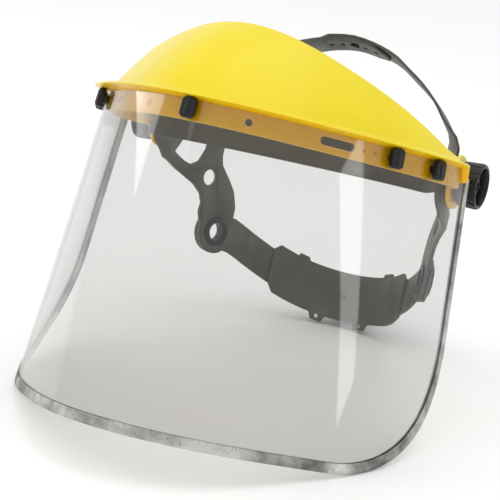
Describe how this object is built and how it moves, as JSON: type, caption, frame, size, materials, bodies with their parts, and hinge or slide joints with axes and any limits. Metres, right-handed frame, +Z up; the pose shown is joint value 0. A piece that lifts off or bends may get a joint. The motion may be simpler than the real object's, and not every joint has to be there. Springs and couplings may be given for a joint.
{
  "type": "brow-guard face shield",
  "caption": "Brow-guard face shield: yellow dome guard with a clear edged visor, hinged by side knobs on a ratchet headgear with a crown strap.",
  "frame": {"origin": "centre of the underside of the bounding box, on the table, with the shield standing as pictured: on the visor's lower corners in front and the ratchet knob behind", "axes": "+X towards the wearer's left, +Y towards the back of the wearer's head, +Z up from the table; worn, the shield is tipped forward about X so that the headband lies level"},
  "size_m": [0.2594, 0.3706, 0.2372],
  "materials": {
    "yellow_plastic": "smooth gloss moulding, lemon yellow",
    "clear_sheet": "clear transparent polycarbonate sheet",
    "aluminium": "dull rolled edging",
    "black_plastic": "black moulding, half gloss",
    "headgear_plastic": "grey-black semi-matt moulding",
    "foam_pad": "foam pad with a fabric face",
    "steel": "zinc plated",
    "brass": "moulded-in insert"
  },
  "bodies": {
    "headgear": {"headband": "headgear_plastic", "sweatband": "foam_pad", "crown_strap_left": "headgear_plastic", "crown_strap_right": "headgear_plastic", "crown_peg": "black_plastic", "crown_stud_left": "black_plastic", "crown_stud_right": "black_plastic", "pivot_screw_left": "steel", "pivot_screw_right": "steel", "friction_washer_left": "black_plastic", "friction_washer_right": "black_plastic", "knob_washer_left": "steel", "knob_washer_right": "steel", "hub_eyelet_left": "black_plastic", "hub_eyelet_right": "black_plastic"},
    "guard": {"brow_guard": "yellow_plastic", "visor": "clear_sheet", "edge_trim": "aluminium"},
    "button_1": {"visor_button_1": "black_plastic"},
    "button_2": {"visor_button_2": "black_plastic"},
    "button_3": {"visor_button_3": "black_plastic"},
    "button_4": {"visor_button_4": "black_plastic"},
    "button_5": {"visor_button_5": "black_plastic"},
    "knob_left": {"pivot_knob_left": "black_plastic", "knob_nut_left": "brass"},
    "knob_right": {"pivot_knob_right": "black_plastic", "knob_nut_right": "brass"},
    "nape_band": {"nape_strap_left": "headgear_plastic", "nape_strap_right": "headgear_plastic", "nape_cover": "headgear_plastic", "nape_housing": "headgear_plastic"},
    "ratchet": {"ratchet_knob": "black_plastic", "ratchet_pinion": "black_plastic", "ratchet_screw": "steel"}
  },
  "joints": [
    {"name": "guard_tilt", "type": "hinge", "parent": "headgear", "child": "guard", "pos_m": [0, 0.05405, 0.14433], "axis": [-1, 0, 0], "range_deg": [0, 90]},
    {"name": "nape_swing", "type": "hinge", "parent": "headgear", "child": "nape_band", "pos_m": [0, 0.09542, 0.06541], "axis": [1, 0, 0], "range_deg": [-8, 8]},
    {"name": "ratchet_turn", "type": "hinge", "parent": "nape_band", "child": "ratchet", "pos_m": [0, 0.15838, 0.0208], "axis": [0, 0.9592, -0.2827], "range_deg": [-180, 180]},
    {"name": "knob_turn_left", "type": "hinge", "parent": "headgear", "child": "knob_left", "pos_m": [0, 0.05405, 0.14433], "axis": [1, 0, 0], "range_deg": [0, 270]},
    {"name": "knob_turn_right", "type": "hinge", "parent": "headgear", "child": "knob_right", "pos_m": [0, 0.05405, 0.14433], "axis": [-1, 0, 0], "range_deg": [0, 270]},
    {"name": "button_turn_1", "type": "hinge", "parent": "guard", "child": "button_1", "pos_m": [-0.1082, -0.01259, 0.1648], "axis": [-0.9364, -0.3028, 0.1775], "range_deg": [0, 90]},
    {"name": "button_turn_2", "type": "hinge", "parent": "guard", "child": "button_2", "pos_m": [-0.09279, -0.04211, 0.1735], "axis": [-0.8429, -0.4857, 0.2314], "range_deg": [0, 90]},
    {"name": "button_turn_3", "type": "hinge", "parent": "guard", "child": "button_3", "pos_m": [0.00001, -0.11685, 0.19553], "axis": [0.0094, -0.9318, 0.3629], "range_deg": [0, 90]},
    {"name": "button_turn_4", "type": "hinge", "parent": "guard", "child": "button_4", "pos_m": [0.09279, -0.04211, 0.1735], "axis": [0.8429, -0.4857, 0.2314], "range_deg": [0, 90]},
    {"name": "button_turn_5", "type": "hinge", "parent": "guard", "child": "button_5", "pos_m": [0.1082, -0.01259, 0.1648], "axis": [0.9364, -0.3028, 0.1775], "range_deg": [0, 90]}
  ]
}
